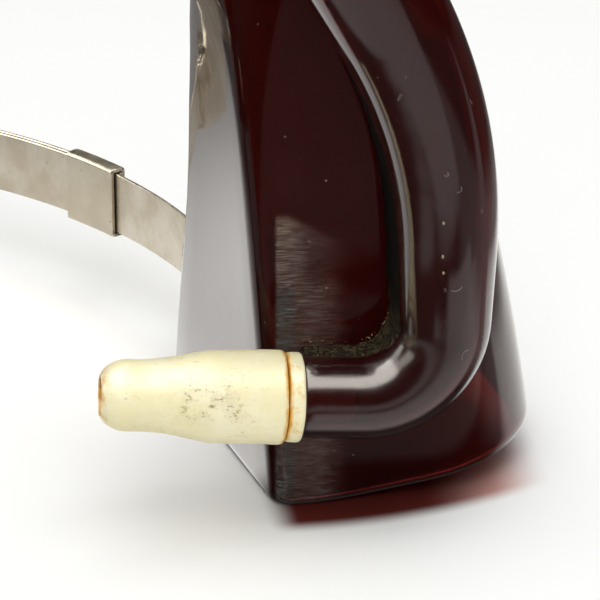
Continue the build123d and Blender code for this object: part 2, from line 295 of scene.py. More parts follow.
resinLook = {
    "ruby": colour(0.34, 0.045, 0.035),
    "keeps": colour(0.41, 0.06, 0.045),
    "density": 1000,
    "depth": 0.955,              # share of the light that goes in
    # a dust tone, and the colours of the sheen painted on the bell's front
    "haze": colour(0.82, 0.72, 0.62),
    "warmPaintedSheen": colour(1.0, 0.90, 0.68),
    "coolPaintedSheen": colour(0.42, 0.58, 0.54),
    "dust": colour(0.8, 0.76, 0.68),
}


def scratchesAndPaintedSheen(t, scuff):
    # a painted reflection on the flat front, with fine level scratches in it: a beige corner and a cool
    # lower edge of painted sheen
    wisps = t.noise(1.0, 5, 0.7, 1.6, vector=t.mapped((0.5, 1, 2.6), turn=(0, -0.35, 0)))
    left = t.span(t.x, 66.6, 67.3)
    slope = t.times(t.most(t.minus(t.x, 68.5), 0.0), 0.55)
    top = t.span(t.plus(t.z, slope, t.times(wisps, 1.6)), 41.6, 40.2)
    fade = t.most(t.span(t.x, 68, 72.5, 1.0, 0.45), t.times(t.span(t.z, 33, 30), 0.8))
    right = t.times(fade, t.span(t.minus(t.x, t.times(wisps, 4.0)), 75.0, 70.0))
    threads = t.span(scuff, 0.42, 0.62, 0.45, 1.0)
    upper = t.times(left, top, right, threads, t.span(wisps, 0.35, 0.6, 0.5, 1.0))
    lower = t.times(t.between(t.x, 66.5, 76.0, 3.0), t.between(t.z, 0.8, 8.5, 2.5), threads)
    return t.most(upper, t.times(lower, 0.14))


def rubyResin(name, onBell):
    # a deep red resin: the polish is a coat, which handling has dulled on the bell's flat front
    t = Finish(name)
    scuff = t.noise(1.0, 4, 0.65, vector=t.mapped((0.35, 1, 7), turn=(0, 0.06, 0)))
    cloud = t.noise(0.12, 3, 0.5)
    specks = t.most(t.dots(0.6, 0.07, 0.16), t.dots(1.6, 0.12, 0.05))
    dustAndPaintedSheen = t.times(t.span(cloud, 0.5, 0.8), 0.05)
    shine = 1.0
    dull = t.span(t.z, 36, 25, 0.09, 0.2)
    if onBell:
        # the bell's flat front: a painted reflection mixed into the colour, over the faint dust
        dustAndPaintedSheen = t.most(dustAndPaintedSheen, t.times(scratchesAndPaintedSheen(t, scuff), t.span(t.y, 0.5, 2.0, 1.0, 0.0)))
        foot = t.times(t.most(t.minus(t.x, 73.0), 0.0), bell["mouthRise"])
        lip = t.span(t.minus(t.z, foot), 2.0, 0.9, 0.12, 0.8)
        shine = t.most(lip, t.span(t.y, 1.0, 3.2, 0.12, 1.0))
        dull = 0.012
    # the painted sheen's colours: beige, warmer in the upper corner of the patch, cool at its lower edge;
    # elsewhere only a faint dust tone
    corner = t.times(t.span(t.x, 71, 67), t.span(t.z, 33, 40))
    haze = t.mix(corner, resinLook["haze"], resinLook["warmPaintedSheen"])
    haze = t.mix(t.times(t.span(t.z, 32, 29), t.span(t.x, 70, 68.5)), haze, resinLook["coolPaintedSheen"])
    scratched = t.times(scuff, t.span(t.y, 1.0, 3.2, 1.0, 0.0), 0.03)
    wear = t.plus(t.times(t.noise(0.12, 2, 0.5), 4.0), scratched)
    soaking = {"Color": resinLook["keeps"], "Density": resinLook["density"]}
    soak = t.node("ShaderNodeVolumeAbsorption", soaking)
    t.feed(t.output.inputs["Volume"], soak.outputs["Volume"])
    return t.finished({
        "Base Color": t.mix(specks, t.mix(dustAndPaintedSheen, resinLook["ruby"], haze), resinLook["dust"]),
        "Transmission Weight": t.minus(resinLook["depth"], t.times(dustAndPaintedSheen, 0.2), t.times(specks, 0.45)),
        "IOR": 1.55,
        "Specular IOR Level": 0.0,
        "Specular Tint": colour(0, 0, 0),
        "Roughness": t.span(cloud, 0.3, 0.7, 0.04, 0.08),
        "Coat Weight": t.times(shine, t.inverse(t.times(specks, 0.8))),
        "Coat IOR": 1.6,
        "Coat Roughness": t.plus(t.span(t.noise(0.7, 5, 0.6), 0.35, 0.8, 0.0, 0.05), dull),
        "Coat Normal": t.bump(wear, 0.012),
    })


ivoryLook = {
    "cream": colour(0.87, 0.79, 0.48),
    "pale": colour(0.92, 0.86, 0.60),
    "grime": colour(0.24, 0.155, 0.03),
    "rust": colour(0.72, 0.37, 0.03),
    "deepRust": colour(0.36, 0.15, 0.01),
    "seam": 2.1,                 # from the end of the tube, in millimetres
    "nose": 24.8,
}


def ivory():
    t = Finish("ivory")
    length = t.along(tubeEnd, tipAxis)
    cloud = t.noise(0.16, 4, 0.6)
    body = t.mix(t.span(cloud, 0.35, 0.7), ivoryLook["cream"], ivoryLook["pale"])
    # fine dirt in a patch along the front, thinner elsewhere
    patch = t.times(t.between(length, 4.5, 18.0, 4.0), t.between(t.z, 17.0, 24.5, 2.4), t.span(t.y, -7, -9))
    cluster = t.times(patch, t.span(t.noise(0.38, 4, 0.65), 0.42, 0.58))
    streaky = t.noise(1.0, 5, 0.75, vector=t.mapped((1.1, 1.6, 2.2)))
    grain = t.most(t.dots(2.2, 0.3, 0.45), t.span(streaky, 0.54, 0.62))
    sparse = t.times(t.span(t.noise(0.3, 4, 0.6), 0.5, 0.66), t.span(length, 2.5, 4), 0.35)
    dirt = t.times(grain, t.most(cluster, sparse))
    scratch = t.span(t.noise(1.0, 2, 0.5, vector=t.mapped((0.5, 1.0, 7.0), turn=(0, 0.5, 0))), 0.66, 0.72)
    dirt = t.most(dirt, t.times(scratch, t.between(length, 17, 24, 2), t.span(t.z, 18, 16), 0.6))
    body = t.mix(t.times(cluster, 0.12), body, ivoryLook["grime"])
    body = t.mix(t.times(dirt, 0.8), body, ivoryLook["grime"])
    # rust-brown stain where tip and collar meet, in the bore and round the nose
    wander = t.plus(length, t.times(t.minus(t.noise(0.8, 3, 0.6), 0.5), 0.9))
    off = t.math("ABSOLUTE", t.minus(wander, ivoryLook["seam"]))
    seam = t.times(t.span(off, 0.75, 0.1), t.span(t.noise(0.5, 3, 0.6), 0.3, 0.6, 0.45, 1.0))
    collarStain = t.times(t.span(length, 2.2, 1.9), t.span(t.noise(0.55, 5, 0.7), 0.52, 0.68), 0.42)
    mouth = t.times(t.span(length, ivoryLook["nose"] - 0.9, ivoryLook["nose"] + 0.2),
                    t.span(t.noise(0.7, 4, 0.6), 0.42, 0.62))
    body = t.mix(t.most(seam, collarStain, t.times(mouth, 0.7)), body, ivoryLook["rust"])
    core = t.times(t.span(off, 0.2, 0.0), t.span(t.noise(1.3, 3, 0.6), 0.45, 0.65))
    body = t.mix(t.times(core, 0.5), body, ivoryLook["deepRust"])
    # the bore is brown inside
    fromAxis = t.minus(t.farSquared(tubeEnd), t.times(length, length))
    bore = t.times(t.span(fromAxis, 7.0, 5.9), t.span(length, 9.0, 12.0))
    bored = t.mix(t.span(t.noise(0.9, 4, 0.6), 0.4, 0.6), ivoryLook["deepRust"], ivoryLook["rust"])
    pits = t.minus(t.noise(0.9, 5, 0.6), t.times(t.dots(2.2, 0.3, 0.3), 0.6))
    return t.finished({
        "Base Color": t.mix(t.times(bore, 0.92), body, bored),
        "Roughness": t.span(cloud, 0.3, 0.7, 0.42, 0.3),
        "Specular IOR Level": 0.35,
        "Normal": t.bump(pits, 0.05),
    })


nickelLook = {
    "ribbon": colour(0.66, 0.61, 0.52),
    "fitting": colour(0.60, 0.55, 0.45),
    "brass": colour(0.72, 0.52, 0.24),
    "warm": colour(0.52, 0.46, 0.36),
    "stainAndPaintedShadow": colour(0.30, 0.26, 0.17),
}


def nickel(name, base, tarnish):
    t = Finish(name)
    drift = t.noise(0.5, 5, 0.65)
    body = t.mix(t.span(t.noise(0.11, 4, 0.6), 0.38, 0.66), base, nickelLook["warm"])
    spots = t.times(t.dots(0.9, 0.3, 0.3), t.span(drift, 0.4, 0.6), tarnish)
    brushing = t.noise(1.0, 3, 0.6, vector=t.mapped((0.3, 0.3, 9)))
    return t.finished({
        "Base Color": t.mix(spots, body, nickelLook["stainAndPaintedShadow"]),
        "Metallic": 1.0,
        "Roughness": t.span(drift, 0.3, 0.7, 0.27, 0.40),
        "Normal": t.bump(brushing, 0.004),
    })


def cementAndCreviceShade():
    # nearly black cement, its black also painted shade for the gap between tube and face, with pale dust in
    # the bend above the ear tip
    t = Finish("cement")
    grit = t.noise(2.2, 5, 0.7)
    low = t.times(t.span(t.z, 33, 24), t.span(t.x, 88, 84))
    dustAndPaintedSheen = t.times(low, t.span(grit, 0.42, 0.62), t.span(t.noise(0.7, 3, 0.6), 0.3, 0.55, 0.3, 1.0))
    body = t.mix(t.span(grit, 0.5, 0.75), colour(0.004, 0.003, 0.0025), colour(0.02, 0.014, 0.010))
    return t.finished({
        "Base Color": t.mix(t.times(dustAndPaintedSheen, 0.28), body, colour(0.26, 0.19, 0.10)),
        "Roughness": t.span(grit, 0.3, 0.7, 0.55, 0.9),
        "Specular IOR Level": 0.04,
        "Normal": t.bump(grit, 0.12),
    })


def plainFinish(name, base, rough):
    t = Finish(name)
    darker = colour(*(c * 0.7 for c in base[:3]))
    return t.finished({
        "Base Color": t.mix(t.noise(3.0, 3, 0.6), base, darker),
        "Roughness": t.span(t.noise(1.0), 0.3, 0.7, rough - 0.05, rough + 0.05),
    })


# ---- horn bell ----
bell = {
    "innerX": 66.8,              # front inner corner of the mouth
    "mouthWidth": 37.8,
    "mouthDepth": 46.0,
    "wall": 2.2,
    "innerLean": 4.3,            # degrees
    "splay": 9.6,                # degrees at the waist of the inner wall
    "splayLow": 2.7,
    "lowHeight": 12.0,
    "lowSpread": 18.0,
    "splayHigh": 0.025,
    "outerSlope": 0.16,
    "outerCurve": 0.0012,
    "depthTaper": 0.235,
    "mouthFlare": 6.5,
    "flareHeight": 8.0,
    "easeHeight": 52.0,
    "easeOuter": 0.014,
    "easeFront": 0.004,
    "easeBack": 0.006,
    "shoulder": 67.0,
    "outerTuck": 0.08,
    "mouthRest": 6.5,            # from the inner wall, where the mouth starts to rise off the table
    "mouthRise": 0.17,
    "mouthEase": 3.0,
    "rounds": (3.0, 16.0, 20.0, 3.0),
    "shoulderRound": 8.5,
    "edgeHold": 6.0,
    "leastRound": 0.8,
    "lip": 1.5,                  # height of the rounded rim
    "lipSteps": 8,
    "cornerSteps": (8, 16, 16, 8),
    "sideSteps": 7,
    "rows": (0, 0.8, 1.8, 3, 4.5, 6.5, 9, 12, 15, 19, 23, 27,
             31, 35, 39, 43, 47, 51, 54, 57, 60, 63, 65, 67),
    "throatSteps": 10,
    "throatNeck": 5.0,
    "throatSpread": 0.35,
    "throatEnd": ((2.5, 0.5), (0.4, 0.08), (0, -0.25)),
    "padX": (63.38, 78.28),
    "padZ": (10.5, 21.9),
    "padRear": 41.0,
    "padRound": 1.5,
    "padEdge": 0.25,
}


def bellOutline(height):
    eased = max(height - bell["easeHeight"], 0) ** 2
    inner = bell["innerX"] - tanDeg(bell["innerLean"]) * height
    outer = bell["innerX"] + bell["mouthWidth"] - bell["outerSlope"] * height
    outer -= bell["outerCurve"] * height ** 2 + bell["easeOuter"] * eased
    rear = bell["mouthDepth"] - bell["mouthFlare"] * (1 - exp(-height / bell["flareHeight"]))
    rear -= bell["depthTaper"] * height + bell["easeBack"] * eased
    return inner, outer, bell["easeFront"] * eased, rear


def splayAt(height):
    low = bell["splayLow"] * exp(-((height - bell["lowHeight"]) / bell["lowSpread"]) ** 2)
    return bell["splay"] + low + bell["splayHigh"] * max(height - bell["easeHeight"], 0) ** 2


def bellSection(height, inset):
    # one ring of points: four sides moved inwards by the inset, with an arc at each corner
    inner, outer, front, rear = bellOutline(height)
    shift = tanDeg(splayAt(height)) * (rear - front)
    corners = [Vector((inner, front)), Vector((outer, front)),
               Vector((outer - rear * bell["outerTuck"], rear)), Vector((inner - shift, rear))]
    share = min(max(height / bell["shoulder"], 0), 1)
    hold = share ** bell["edgeHold"]
    sides = [(corners[(i + 1) % 4] - corners[i]).normalized() for i in range(4)]
    arcs = []
    for i in range(4):
        into, out = sides[i - 1], sides[i]
        turn = atan2(into.x * out.y - into.y * out.x, into.dot(out))
        corner = corners[i] + (out - into) * (inset / sin(turn))
        grown = (hold, share, share, hold)[i]
        radius = bell["rounds"][i] + (bell["shoulderRound"] - bell["rounds"][i]) * grown - inset
        radius = max(radius, bell["leastRound"])
        start = corner - into * (radius * tan(turn / 2))
        middle = start + Vector((-into.y, into.x)) * radius
        spoke = start - middle
        steps = bell["cornerSteps"][i]
        arcs.append([middle + Matrix.Rotation(turn * k / steps, 2) @ spoke for k in range(steps + 1)])
    ring = []
    steps = bell["sideSteps"]
    for i in range(4):
        end, goal = arcs[i][-1], arcs[(i + 1) % 4][0]
        ring += arcs[i] + [end.lerp(goal, k / steps) for k in range(1, steps)]
    return ring


def mouthHeight(point):
    over = point.x - bell["innerX"] + tanDeg(splayAt(0)) * point.y - bell["mouthRest"]
    return bell["mouthRise"] * (over + hypot(over, bell["mouthEase"])) / 2


def bellRows(inset, feet):
    # rings from the lip up to the shoulder; each point starts from its own foot height
    rows = []
    top = bell["shoulder"]
    for level in bell["rows"]:
        ring = []
        for i, foot in enumerate(feet):
            height = foot + (top - foot) * level / top
            point = bellSection(height, inset)[i]
            ring.append(Vector((point.x, point.y, height)))
        rows.append(ring)
    return rows


def throatRows(inset):
    # rings that close in from the shoulder to the round throat
    top = bell["shoulder"]
    low = [Vector((p.x, p.y, top)) for p in bellSection(top, inset)]
    lower = [Vector((p.x, p.y, top - 1)) for p in bellSection(top - 1, inset)]
    middle = sum(low, Vector()) / len(low)
    neckRadius = neck["throatR"] + bell["throatSpread"] - inset
    drop = throat["centre"] - throat["axis"] * bell["throatNeck"]
    turns = [atan2(p.y - middle.y, p.x - middle.x) for p in low]
    ways = [throat["side"] * cos(a) + back * sin(a) for a in turns]
    rows = []
    for k in range(1, bell["throatSteps"] + 1):
        t = k / bell["throatSteps"]
        ring = []
        for p, under, out in zip(low, lower, ways):
            goal = drop + out * neckRadius
            reach = (goal - p).length
            startWay = (p - under) * reach
            endWay = throat["axis"] * reach
            ring.append(p * (2 * t ** 3 - 3 * t ** 2 + 1) + startWay * (t ** 3 - 2 * t ** 2 + t)
                        + goal * (3 * t ** 2 - 2 * t ** 3) + endWay * (t ** 3 - t ** 2))
        rows.append(ring)
    for drop, spread in bell["throatEnd"]:
        centre = throat["centre"] - throat["axis"] * drop
        radius = neck["throatR"] - inset + bell["throatSpread"] * spread
        rows.append([centre + out * radius for out in ways])
    return rows


def makeBell():
    feet = [0.0] * len(bellSection(0, 0))
    for k in range(3):
        feet = [mouthHeight(bellSection(h, 0)[i]) for i, h in enumerate(feet)]
    raised = [h + bell["lip"] for h in feet]
    outer = bellRows(0, raised)
    inner = bellRows(bell["wall"], raised)
    lip = []
    for k in range(1, bell["lipSteps"]):
        turn = pi * k / bell["lipSteps"]
        ring = []
        for a, b, foot in zip(outer[0], inner[0], feet):
            p = (a + b) / 2 + (a - b) / 2 * cos(turn)
            ring.append(Vector((p.x, p.y, foot + bell["lip"] * (1 - sin(turn)))))
        lip.append(ring)
    outer += throatRows(0)
    inner += throatRows(bell["wall"])
    rings = outer[::-1] + lip + inner
    rings.append(rings[0])
    piece = skin("horn_bell", [[place(*p) for p in ring] for ring in rings], smooth=60)
    pad = makePad()
    activate(piece)
    union = piece.modifiers.new("pad", "BOOLEAN")
    union.operation = "UNION"
    union.solver = "EXACT"
    union.object = pad
    applyAll(piece)
    bpy.data.objects.remove(pad)
    tidyMesh(piece, smooth=50)
    return piece


def makePad():
    # a moulded pad with an upright rear face, its front buried in the wall
    deselect()
    bpy.ops.mesh.primitive_cube_add(size=1)
    pad = bpy.context.object
    for vertex in pad.data.vertices:
        z = bell["padZ"][vertex.co.z > 0]
        buried = bellOutline(z)[3] - bell["wall"] / 2
        vertex.co = place(bell["padX"][vertex.co.x > 0], bell["padRear"] if vertex.co.y > 0 else buried, z)
    weights = pad.data.attributes.new("bevel_weight_edge", "FLOAT", "EDGE")
    for edge in pad.data.edges:
        a, b = [pad.data.vertices[i].co for i in edge.vertices]
        weights.data[edge.index].value = float(abs(a.x - b.x) + abs(a.z - b.z) < 0.01 * mm)
    for name, limit, width, segments in (("corners", "WEIGHT", bell["padRound"], 6),
                                         ("edge", "ANGLE", bell["padEdge"], 2)):
        bevel = pad.modifiers.new(name, "BEVEL")
        bevel.limit_method = limit
        bevel.width = width * mm
        bevel.segments = segments
    applyAll(pad)
    return pad


# ---- neck tube ----
neck = {
    "wall": 1.6,
    "endR": 5.1,
    "bendR": 5.85,
    "midR": 6.3,
    "legR": 7.45,
    "topR": 7.75,
    "throatR": 8.0,
    "seatGap": 0.15,
    "run": 7.2,
    "runRise": 4.3,              # degrees
    "runHeight": 18.2,
    "bend": 10.2,
    "uprightX": 87.3,
    "upright": 10.1,
    "sweep": 64.0,
    "sweepTurn": 28.0,           # degrees
    "leg": 22.0,
    "fold": 9.0,
    "foldSteps": 20,
    "throatLean": 15.0,          # degrees
    "endBevel": (0.2, 0.25),     # how far it goes in and along
    "spigotBevel": (0.25, 0.3),
    "around": 56,
}
tip = {
    "baseR": 5.83,
    "length": 22.9,
    "boreR": 2.35,
    "collarR": 5.6,
    "collarLength": 2.0,
    "seam": 0.2,
    "collarBoreR": 3.03,
    "socketR": 3.05,
    "socket": 9.5,
    "around": 72,
}
back = Vector((0, 1, 0))


def leaning(angle):
    angle = radians(angle)
    return Vector((-sin(angle), 0, cos(angle)))


def neckStations():
    # centre, direction, side and radius across the tube, from the collar to the throat
    rise = radians(neck["runRise"])
    runX = neck["uprightX"] - neck["bend"] * (1 + sin(rise)) - neck["run"] * cos(rise)
    start = Vector((runX, 0, neck["runHeight"]))
    heading = -90 - neck["runRise"]
    stations = []
    # steps, length or bend radius, turn in degrees, the tube's radius at either end
    for steps, size, turn, startR, endR in (
            (4, neck["run"], 0, neck["endR"], neck["endR"]),
            (18, neck["bend"], -heading, neck["endR"], neck["bendR"]),
            (5, neck["upright"], 0, neck["bendR"], neck["midR"]),
            (16, neck["sweep"], neck["sweepTurn"], neck["midR"], neck["legR"]),
            (6, neck["leg"], 0, neck["legR"], neck["topR"])):
        centre = start - leaning(heading - 90) * size
        for k in range(steps + 1):
            now = heading + turn * k / steps
            direction = leaning(now)
            radius = startR + (endR - startR) * k / steps
            spot = centre + leaning(now - 90) * size if turn else start + direction * (size * k / steps)
            spot.y = -(max(radius, tip["baseR"]) + neck["seatGap"])
            stations.append((spot, direction, direction.cross(back), radius))
        # the next part starts where this one ends
        stations.pop()
        start = spot
        heading += turn
    leg = leaning(heading)
    throatAxis = leaning(neck["throatLean"])
    crown = start + (back + leg) * neck["fold"]
    folds = neck["foldSteps"]
    for k in range(folds + 1):
        angle = pi * k / folds
        axis = leg if k < folds / 2 else throatAxis
        point = crown - (back * cos(angle) + axis * (1 - sin(angle))) * neck["fold"]
        direction = back * sin(angle) + axis * cos(angle)
        side = leg.cross(back).lerp(throatAxis.cross(back), k / folds).normalized()
        side = (side - direction * side.dot(direction)).normalized()
        radius = neck["topR"] + (neck["throatR"] - neck["topR"]) * k / folds
        stations.append((point, direction, side, radius))
    return stations


def stationRing(station, inset, ahead=0.0):
    # a ring round the tube's centre line, set in from its radius and a little ahead of the station
    centre, direction, side, radius = station
    other = direction.cross(side)
    centre = centre + direction * ahead
    turns = [2 * pi * i / neck["around"] for i in range(neck["around"])]
    return [place(*(centre + (side * cos(a) + other * sin(a)) * (radius - inset))) for a in turns]


neckLine = neckStations()
throat = {
    "centre": neckLine[-1][0],
    "axis": leaning(neck["throatLean"]),
    "side": leaning(neck["throatLean"] - 90),
}


def makeNeck():
    first, last = neckLine[0], neckLine[-1]
    endIn, endAlong = neck["endBevel"]
    spigotIn, spigotAlong = neck["spigotBevel"]
    outer = [stationRing(first, endIn), stationRing(first, 0, endAlong)]
    outer += [stationRing(s, 0) for s in neckLine[1:-1]]
    outer += [stationRing(last, 0, -spigotAlong), stationRing(last, spigotIn)]
    inner = [stationRing(s, neck["wall"]) for s in neckLine[::-1]]
    return skin("neck_tube", outer + inner + [outer[0]], smooth=50)


# ---- ear tip, collar and nipple, turned about the axis of the run ----
tipAxis = leaning(90 - neck["runRise"])
tubeEnd = neckLine[0][0]


def eased(points, steps=6):
    # a smooth line through points
    line = []
    for i in range(len(points) - 1):
        p0 = Vector(points[max(i - 1, 0)])
        p1, p2 = Vector(points[i]), Vector(points[i + 1])
        p3 = Vector(points[min(i + 2, len(points) - 1)])
        for k in range(steps):
            t = k / steps
            line.append((p1 * 2 + (p2 - p0) * t + (p0 * 2 - p1 * 5 + p2 * 4 - p3) * t ** 2
                         + (p1 * 3 - p0 - p2 * 3 + p3) * t ** 3) / 2)
    line.append(Vector(points[-1]))
    return [(p.x, p.y) for p in line]


def roughen(piece, size, depth, seed):
    # a hand-worn surface: low bumps along the normals
    for vertex in piece.data.vertices:
        spot = vertex.co / (size * mm) + Vector((seed, 0, 0))
        vertex.co += vertex.normal * (noise.noise(spot) * depth * mm)


def makeEarTip():
    length = tip["length"]
    base = tip["baseR"]
    outside = eased([
        (base - 0.32, 0.0), (base - 0.06, 0.22), (base + 0.02, 1.2), (base + 0.04, 4.5),
        (base, 8.2), (base - 0.12, 9.6), (5.25, 12.0), (4.78, 14.4), (4.5, 16.6), (4.42, 18.1),
        (4.46, 19.5), (4.3, 20.7), (3.75, 21.9), (3.1, 22.6), (tip["boreR"] + 0.25, length)])
    inside = [(tip["boreR"], length - 0.3), (tip["boreR"], length - 3), (tip["boreR"], tip["socket"]),
              (tip["socketR"], tip["socket"]), (tip["socketR"], 0.0)]
    profile = outside + inside
    profile.append(profile[0])
    start = tubeEnd + tipAxis * (tip["collarLength"] + tip["seam"])
    piece = lathe("ear_tip", profile, start)
    roughen(piece, 7, 0.16, 3)
    roughen(piece, 1.6, 0.03, 8)
    return piece


def makeCollar():
    radius = tip["collarR"]
    profile = eased([(radius - 0.4, 0.0), (radius - 0.1, 0.12), (radius + 0.02, 0.5), (radius, 1.5),
                     (radius - 0.1, 1.85), (radius - 0.35, tip["collarLength"])], 4)
    profile += [(tip["collarBoreR"], tip["collarLength"]), (tip["collarBoreR"], 0.0)]
    profile.append(profile[0])
    piece = lathe("tip_collar", profile, tubeEnd)
    roughen(piece, 2.5, 0.05, 5)
    return piece


# ---- cement, crust and lint on the horn ----
cement = {
    "top": 64.0,                 # height where the tube leaves the front face
    "steps": 8,                  # rings from one station to the next
    "ragged": 0.3,
    "climb": (-22, 34),          # degrees round the tube on the run, and more on the upright
    "climbOutside": -35,
    "reach": 0.25,               # past the tube's radius on the upright, and less on the run
    "runLess": 0.8,
    "reachOutside": 0.85,
    "grains": 44,
    "grainR": 0.035,
    "grainSpread": 0.08,
    "onTube": 0.4,               # share of the grains
    "crustHigh": 31.0,
    "crustWide": 87.0,
}


def between(a, b, share):
    # a station part of the way between two
    direction = a[1].lerp(b[1], share).normalized()
    return a[0].lerp(b[0], share), direction, direction.cross(back), a[3] + (b[3] - a[3]) * share


def cementLine():
    line = []
    for a, b in zip(neckLine, neckLine[1:]):
        if a[0].z > cement["top"] or b[1].y > 0.01:
            break
        line += [between(a, b, k / cement["steps"]) for k in range(cement["steps"])]
    return line


def onTube(station, angle, hand, lift=0.0):
    # a point on the tube, at an angle in degrees forwards from its side
    centre, _, side, radius = station
    out = side * (cos(radians(angle)) * hand) - back * sin(radians(angle))
    return centre + out * (radius + lift)


def makeBead(name, hand):
    # fills the crevice between tube and face with a dark bead that is both cement and painted crevice shade:
    # hand 1 is the inside of the bend, -1 the outside
    rings = []
    line = cementLine()
    for k, station in enumerate(line):
        centre, direction, side, radius = station
        upright = max(direction.z, 0)
        fade = min(1, (len(line) - 1 - k) / 14, (k + 4) / 8)
        coarse = noise.noise(centre / 1.7 + Vector((0, hand, 0)))
        fine = noise.noise(centre / 0.3 + Vector((0, hand * 3, 0)))
        inside = radius + cement["reach"] - (1 - upright) * cement["runLess"]
        reach = inside if hand > 0 else radius * cement["reachOutside"]
        edge = (reach + cement["ragged"] * (coarse + 0.5 * fine)) * fade
        creep = cement["climb"][0] + cement["climb"][1] * upright if hand > 0 else cement["climbOutside"]
        creep += 4 * coarse + 7 * max(fine, 0) - 60 * (1 - fade)

        def onFace(lateral, depth):
            point = centre + side * (lateral * hand)
            return Vector((point.x, bellOutline(point.z)[2] + depth, point.z))

        outer = onTube(station, creep - 18, hand, 0.25)
        points = [onFace(edge * 0.5, 0.06), onFace(edge, 0.06), onFace(edge - 0.05, -0.12),
                  onFace(edge, 0).lerp(outer, 0.5), outer, onTube(station, creep - 6, hand, 0.1),
                  onTube(station, creep, hand, -0.05), onTube(station, creep - 20, hand, -0.08),
                  onTube(station, creep - 45, hand, -0.08)]
        rings.append([place(*p) for p in points])
    return skin(name, rings, capped=True, weld=0.002 * mm, smooth=60)


def joined(pieces, name):
    deselect()
    for piece in pieces:
        piece.select_set(True)
    bpy.context.view_layer.objects.active = pieces[0]
    bpy.ops.object.join()
    pieces[0].name = name
    return pieces[0]


def scatter(k):
    # three even-handed numbers from 0 to 1 for item k
    return [(sin(k * a + b) * 4371.1) % 1 for a, b in ((12.99, 1.0), (78.23, 2.0), (37.72, 3.0))]


def makeGrain(spot, radius, turn, scale, levels):
    deselect()
    bpy.ops.mesh.primitive_ico_sphere_add(subdivisions=levels, radius=radius * mm, location=place(*spot))
    grain = bpy.context.object
    grain.scale = scale
    grain.rotation_euler = turn
    bpy.ops.object.transform_apply(location=True, rotation=True, scale=True)
    return grain


def makeCrust():
    # grains of dried cement along the inside of the lower bend
    line = [s for s in cementLine() if s[0].x < cement["crustWide"] and s[0].z < cement["crustHigh"]]
    grains = []
    for k in range(cement["grains"]):
        a, b, c = scatter(k + 1)
        station = line[int(a * (len(line) - 1))]
        if b < cement["onTube"]:
            spot = onTube(station, -18 - 40 * b, 1, 0.2)
        else:
            spot = station[0] + station[2] * (station[3] * (0.9 + 0.14 * b))
            spot.y = -0.03
        size = cement["grainR"] + cement["grainSpread"] * c * c
        grains.append(makeGrain(spot, size, (a * 6, b * 6, c * 6), (1 + b, 0.8, 1 + a), 1))
    crust = joined(grains, "cement_crust")
    roughen(crust, 0.12, 0.03, 4)
    return crust


marks = {
    # height on the tube, turn round it from the front in degrees, length, curl
    "fibres": ((25.0, -20, 1.9, 2.6), (34.5, 13, 0.9, 4.5), (34.8, -9, 1.6, 1.6), (50.2, 2, 1.0, 4.0),
               (48.2, -10, 1.1, 2.4), (57.0, -46, 1.0, 3.0), (61.0, 24, 0.9, 3.4), (44.0, -34, 0.8, 5.0)),
    "fibreR": 0.017,
    "fibreLift": 0.03,
    "fibreArch": 0.12,
    "fibreSteps": 14,
    "drops": ((43.5, 12), (39.0, 14), (36.6, 13)),
    "dropR": 0.17,
}


def markAt(height, turn, lift):
    # a point on the upright part of the tube, the way along the tube there and the way out of it
    line = [s for s in cementLine() if s[0].x > neck["uprightX"] - neck["bend"]]
    centre, direction, side, radius = min(line, key=lambda s: abs(s[0].z - height))
    out = side * sin(radians(turn)) - back * cos(radians(turn))
    return centre + out * (radius + lift), direction, out


def makeDrops():
    # drops of pale cement on the front of the tube
    drops = []
    for height, turn in marks["drops"]:
        scale = (0.9, 0.7, 1.5 - 0.3 * (height % 1))
        drops.append(makeGrain(markAt(height, turn, 0)[0], marks["dropR"], (0, 0, 0), scale, 2))
    return joined(drops, "drops")


def makeLint():
    # short curled fibres lying on the tube
    pieces = []
    steps = marks["fibreSteps"]
    for height, turn, length, curl in marks["fibres"]:
        point, direction, out = markAt(height, turn, marks["fibreLift"])
        across = direction.cross(out)
        rings = []
        for k in range(steps + 1):
            heading = curl * k / steps + turn
            way = direction * cos(heading) + across * sin(heading)
            point = point + way * (length / steps)
            lifted = point + out * (marks["fibreArch"] * sin(pi * k / steps))
            over = way.cross(out).normalized()
            rings.append([place(*(lifted + (over * cos(a) + out * sin(a)) * marks["fibreR"]))
                          for a in (0, pi / 2, pi, pi * 1.5)])
        pieces.append(skin("fibre", rings, capped=True, weld=0.001 * mm))
    return joined(pieces, "lint")


# ---- spring band ----
band = {
    "width": 8.9,
    "thickness": 0.5,
    "height": 16.2,
    "radius": 86.0,
    "centre": (-20.6, 24.0),
    "crownAngle": 30.0,
    "slideGap": 0.25,
    "sleeveStart": 52.5,         # degrees from +Y towards +X
    "sleeveEnd": 59.3,
    "sleeveWall": 0.5,
    "sleeveBevel": 0.12,
    "sleeveEdge": 0.55,
    "sleeveMouthEdge": 0.5,
    "sleeveInnerEdge": 0.12,
    "steps": 24,
    "sideSteps": 40,
    "endSteps": 12,
    "endTall": 0.5,
    "edgeGap": 0.2,
    "clipStart": 31.2,
    "clipEnd": 34.53,
    "ribbonStart": 31.0,
    "pivotY": 47.3,
    "edge": 0.18,
}
band["topRadius"] = band["radius"] + band["thickness"] + band["slideGap"]
pivotAngle = degrees(acos((band["pivotY"] - band["centre"][1]) / band["radius"]))


def arcPoint(angle, radius, centre=band["centre"]):
    out = Vector((sin(radians(angle)), cos(radians(angle)), 0))
    return Vector((*centre, 0)) + out * radius, out


